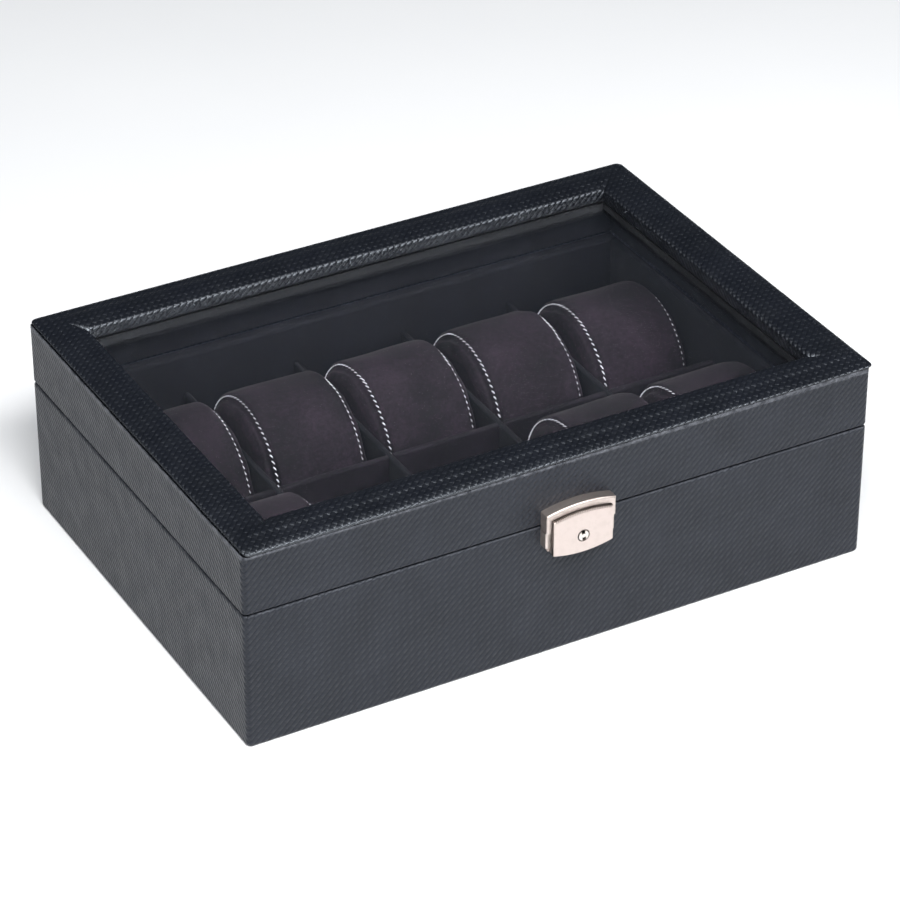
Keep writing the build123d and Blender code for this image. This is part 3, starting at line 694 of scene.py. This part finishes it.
def cushion_mesh(name, seed):
    """A closed roll with its rings placed so that one lies on each row of stitches."""
    low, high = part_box(name)
    middle = (low + high) / 2
    radius = (high.y - low.y) / 2 - CUSHION_GAP
    axis_z = high.z - radius - CUSHION_GAP
    drop = axis_z - low.z - FLOOR_GAP
    rings = [(-u * MM, 1.0) for u in reversed(STATIONS)] + [(u * MM, 1.0) for u in STATIONS[1:]]
    outermost = STATIONS[-1] * MM
    caps = [(outermost, share) for share in CAP_SHARES]
    rings = [(-u, share) for u, share in reversed(caps)] + rings + caps
    points = []
    for u, share in rings:
        for k in range(AROUND):
            angle = 2 * math.pi * k / AROUND
            reach = cushion_section(angle, radius, drop)
            side = 1 if u > 0 else -1
            gather = max(abs(u) - SEAM - 0.5 * MM, 0.0) / (4.6 * MM)
            fold = math.sin(angle * 11 + side * 1.7 + seed + 2.2 * wobble(u, angle * 0.02, 0, 30.0, seed))
            pleat = PLEAT * gather * fold
            slump = SLUMP * wobble(u, math.cos(angle) * 0.03, math.sin(angle) * 0.03, 45.0, seed)
            reach = reach - end_taper(u) + pleat + slump * (1 if math.sin(angle) > 0 else 0.2)
            bow = END_BOW * (1 - share) * side
            points.append(
                (
                    middle.x + u - bow,
                    middle.y + share * reach * math.cos(angle),
                    axis_z + share * reach * math.sin(angle),
                )
            )
    faces = tube_faces(len(rings), AROUND, False)
    for ring in (0, len(rings) - 1):
        pole = len(points)
        x = middle.x + (1 if ring else -1) * (outermost - 0.4 * MM)
        points.append((x, middle.y, axis_z))
        for k in range(AROUND):
            faces.append((ring * AROUND + k, ring * AROUND + (k + 1) % AROUND, pole))
    piece = mesh_piece(name + "_cover", points, faces, "cushion")
    seam_rings = [i for i, (u, share) in enumerate(rings) if share == 1 and abs(abs(u) - SEAM) < 0.01 * MM]
    return piece, seam_rings, (middle, axis_z, low.z)


SLACK = -0.035  # the cover is cut this much too long, so that it wrinkles at the stitches
MOST_MOVE = 1.6 * MM
PRESSURE = 4.0
CLOTH_STEPS = 20


def puff_up(piece, seam_rings, floor_z):
    """Blow the cushion up as cloth, held at its stitches and underside, and keep the result."""
    held = piece.vertex_groups.new(name="held")
    for ring in seam_rings:
        held.add(list(range(ring * AROUND, (ring + 1) * AROUND)), 1.0, "REPLACE")
    under = [v.index for v in piece.data.vertices if v.co.z < floor_z + GRIP]
    held.add(under, 1.0, "REPLACE")
    between = range(seam_rings[0] * AROUND, (seam_rings[1] + 1) * AROUND)
    held.add([v.index for v in piece.data.vertices if v.index not in between], 0.9, "REPLACE")
    start = np.array([v.co for v in piece.data.vertices])
    cloth = piece.modifiers.new("cloth", "CLOTH")
    settings = cloth.settings
    settings.quality = 6
    settings.mass = 0.2
    settings.tension_stiffness = 12
    settings.compression_stiffness = 12
    settings.shear_stiffness = 4
    settings.bending_stiffness = 0.15
    settings.use_pressure = True
    settings.uniform_pressure_force = PRESSURE
    settings.shrink_min = SLACK
    settings.vertex_group_mass = "held"
    settings.effector_weights.gravity = 0.0
    cloth.collision_settings.use_collision = False
    scene = bpy.context.scene
    for step in range(1, CLOTH_STEPS + 1):
        scene.frame_set(step)
    evaluated = piece.evaluated_get(bpy.context.evaluated_depsgraph_get())
    ended = np.array([v.co for v in evaluated.data.vertices])
    piece.modifiers.remove(cloth)
    scene.frame_set(1)
    move = ended - start
    far = np.linalg.norm(move, axis=1, keepdims=True)
    move *= np.minimum(1.0, MOST_MOVE / np.maximum(far, 1e-9))
    piece.data.vertices.foreach_set("co", (start + move).ravel())
    piece.data.update()


def stitch_points(path, start, length, lean):
    """Five points of one stitch along a seam: it dips into the cloth at both ends."""
    shape = ((0.0, -0.12), (0.2, 0.14), (0.5, 0.24), (0.8, 0.14), (1.0, -0.12))
    made = []
    for share, rise in shape:
        place, outward, sideways = path(start + share * length)
        made.append(place + outward * rise * MM + sideways * lean * (share - 0.5) * MM)
    return made


def stitches(name, seams, seed):
    """Rows of separate stitches over the seams of a cushion, as short bent tubes of thread."""
    points, faces = [], []
    for number, ring in enumerate(seams):
        lengths = [0.0]
        for a, b in zip(ring, ring[1:]):
            lengths.append(lengths[-1] + (b[0] - a[0]).length)

        def path(distance, ring=ring, lengths=lengths):
            distance = min(max(distance, 0.0), lengths[-1] - 1e-7)
            i = next(k for k in range(1, len(lengths)) if lengths[k] > distance) - 1
            share = (distance - lengths[i]) / (lengths[i + 1] - lengths[i])
            place = ring[i][0].lerp(ring[i + 1][0], share)
            outward = ring[i][1].lerp(ring[i + 1][1], share).normalized()
            along = (ring[i + 1][0] - ring[i][0]).normalized()
            return place, outward, outward.cross(along)

        count = int(lengths[-1] / (STITCH + STITCH_GAP))
        for k in range(count):
            uneven = wobble(k * 0.37, number * 3.1, seed, 1.0, seed)
            begin = k * lengths[-1] / count + 0.12 * MM * uneven
            line = stitch_points(path, begin, STITCH * (1 + 0.08 * uneven), 1.3 + 0.5 * uneven)
            first = len(points)
            for i, place in enumerate(line):
                ahead = line[min(i + 1, len(line) - 1)] - line[max(i - 1, 0)]
                along = ahead.normalized()
                across = along.orthogonal().normalized()
                other = along.cross(across)
                thick = THREAD_R * (0.72 if i in (0, len(line) - 1) else 1.0 + 0.06 * uneven)
                thick *= 1.0 - 0.35 * clamp(1.0 - 5 * abs(k / count - 0.5))
                for s in range(THREAD_SIDES):
                    turn = 2 * math.pi * s / THREAD_SIDES
                    points.append(place + across * thick * math.cos(turn) + other * thick * math.sin(turn))
            faces += [tuple(first + v for v in face) for face in tube_faces(len(line), THREAD_SIDES, False)]
            faces.append(tuple(first + s for s in range(THREAD_SIDES)))
            faces.append(tuple(first + (len(line) - 1) * THREAD_SIDES + s for s in range(THREAD_SIDES)))
    return mesh_piece(name, points, faces, "thread")


def add_cushion(name, seed):
    """One cushion: its cloth pulled in at two seams, and the stitches that lie in them."""
    piece, seam_rings, (middle, axis_z, floor_z) = cushion_mesh(name, seed)
    puff_up(piece, seam_rings, floor_z)
    vertices = piece.data.vertices
    seams = []
    for ring in seam_rings:
        x = middle.x + math.copysign(SEAM, vertices[ring * AROUND].co.x - middle.x)
        centre = Vector((x, middle.y, axis_z))
        row = []
        for k in range(-8, AROUND // 2 + 9):
            vertex = vertices[ring * AROUND + k % AROUND]
            outward = (vertex.co - centre).normalized()
            row.append((vertex.co - outward * THREAD_SINK, outward))
        seams.append(row)
        for k in range(AROUND):
            vertex = vertices[ring * AROUND + k]
            if vertex.co.z > floor_z + GRIP:
                vertex.co += (centre - vertex.co).normalized() * SEAM_DEPTH
    smoother = piece.modifiers.new("smooth", "SUBSURF")
    smoother.levels = 1
    smoother.render_levels = 1
    body = name + "_body"
    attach(piece, body)
    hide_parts(name)
    rows = stitches(name + "_stitches", seams, seed)
    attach(rows, body)


for number, name in enumerate(CUSHIONS):
    add_cushion(name, number + 1)

# ---- padded floor of the compartments ------------------------------------------------------------
FLOOR_STEP = 2.4 * MM
PRESS_DEPTH, PRESS_WIDTH = 1.3 * MM, 3.0 * MM  # of the line pressed in under a divider or lining
FLOOR_CROWN, CROWN_REACH = 0.9 * MM, 18 * MM  # rise of an empty compartment, and how far from its sides


def padded_floor():
    """The padded floor, pressed down in a soft line under every divider and lining."""
    low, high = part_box("floor_pad")
    lines_x = [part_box(f"cross_divider_{n}")[0].x + 1.5 * MM for n in range(1, 5)]
    lines_x += [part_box("lining_left")[1].x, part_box("lining_right")[0].x]
    lines_y = [0.0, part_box("lining_front")[1].y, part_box("lining_back")[0].y]
    empty = (lines_x[0], lines_x[2])  # compartments without a cushion lie between these, in the front row
    across = round((high.x - low.x) / FLOOR_STEP)
    deep = round((high.y - low.y) / FLOOR_STEP)
    points = []
    for layer in (0, 1):
        for j in range(deep + 1):
            for i in range(across + 1):
                x = low.x + (high.x - low.x) * i / across
                y = low.y + (high.y - low.y) * j / deep
                if layer == 0:
                    points.append((x, y, low.z))
                    continue
                near = min(min(abs(x - line) for line in lines_x), min(abs(y - line) for line in lines_y))
                pressed = PRESS_DEPTH * math.exp(-((near / PRESS_WIDTH) ** 1.5))
                is_empty = empty[0] < x < empty[1] and y < 0
                crown = FLOOR_CROWN * min(near / CROWN_REACH, 1.0) if is_empty else 0.0
                rumple = 0.16 * MM * wobble(x, y, 0.0, 70.0, 5)
                points.append((x, y, high.z - 0.15 * MM - pressed + crown + rumple))
    row = across + 1
    sheet = row * (deep + 1)
    faces = []
    for j in range(deep):
        for i in range(across):
            corner = j * row + i
            quad = (corner, corner + 1, corner + row + 1, corner + row)
            faces += [quad, tuple(v + sheet for v in reversed(quad))]
    edge = list(range(row)) + [j * row + across for j in range(1, deep + 1)]
    edge += [deep * row + i for i in reversed(range(across))] + [j * row for j in reversed(range(1, deep))]
    for a, b in zip(edge, edge[1:] + edge[:1]):
        faces.append((a, b, b + sheet, a + sheet))
    piece = mesh_piece("padded_floor", points, faces, "lining")
    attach(piece, "base")
    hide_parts("floor_pad")


padded_floor()


# ---- studio --------------------------------------------------------------------------------------
def area_light(name, place, aim, size, power):
    """A rectangular lamp; size is its width and height in metres, power is in watts."""
    lamp = bpy.data.lights.new(name, "AREA")
    lamp.shape = "RECTANGLE"
    lamp.size, lamp.size_y = size
    lamp.energy = power
    holder = bpy.data.objects.new(name, lamp)
    holder.location = place
    holder.rotation_euler = (Vector(aim) - Vector(place)).to_track_quat("-Z", "Y").to_euler()
    bpy.context.scene.collection.objects.link(holder)


def studio():
    points = [(x * STUDIO_REACH, y * STUDIO_REACH, 0) for x, y in ((-1, -1), (1, -1), (1, 1), (-1, 1))]
    mesh = bpy.data.meshes.new("studio_floor")
    mesh.from_pydata(points, [], [(0, 1, 2, 3)])
    mesh.materials.append(floor_material())
    floor = bpy.data.objects.new("studio_floor", mesh)
    bpy.context.scene.collection.objects.link(floor)
    world = bpy.data.worlds.new("studio")
    world.use_nodes = True
    world.node_tree.nodes["Background"].inputs["Color"].default_value = (0.62, 0.76, 1.0, 1)
    world.node_tree.nodes["Background"].inputs["Strength"].default_value = 0.06
    bpy.context.scene.world = world
    area_light("softbox", (-0.42, -0.95, 1.3), (0, 0, 0), (0.9, 0.5), 36.0)
    area_light("right_key", (0.7, -0.92, 1.3), (0, 0, 0), (0.6, 0.4), 18.0)
    area_light("left_fill", (-0.9, 0.1, 1.75), (-0.1, 0.1, 0), (0.6, 1.0), 10.0)
    area_light("front_fill", (-0.5, -1.9, 0.9), (-0.1, -0.4, 0), (1.6, 0.6), 5.0)
    bpy.context.scene.view_settings.view_transform = "Standard"


def camera():
    azimuth, elevation = (math.radians(angle) for angle in CAMERA_FROM)
    level = math.cos(elevation)
    away = Vector((math.sin(azimuth) * level, -math.cos(azimuth) * level, math.sin(elevation)))
    data = bpy.data.cameras.new("camera")
    data.lens = LENS
    data.sensor_width = SENSOR_WIDTH
    data.clip_end = FAR_CLIP
    view = bpy.data.objects.new("camera", data)
    view.location = CAMERA_AIM + away * CAMERA_DISTANCE
    view.rotation_euler = away.to_track_quat("Z", "Y").to_euler()
    bpy.context.scene.collection.objects.link(view)
    bpy.context.scene.camera = view


studio()
camera()
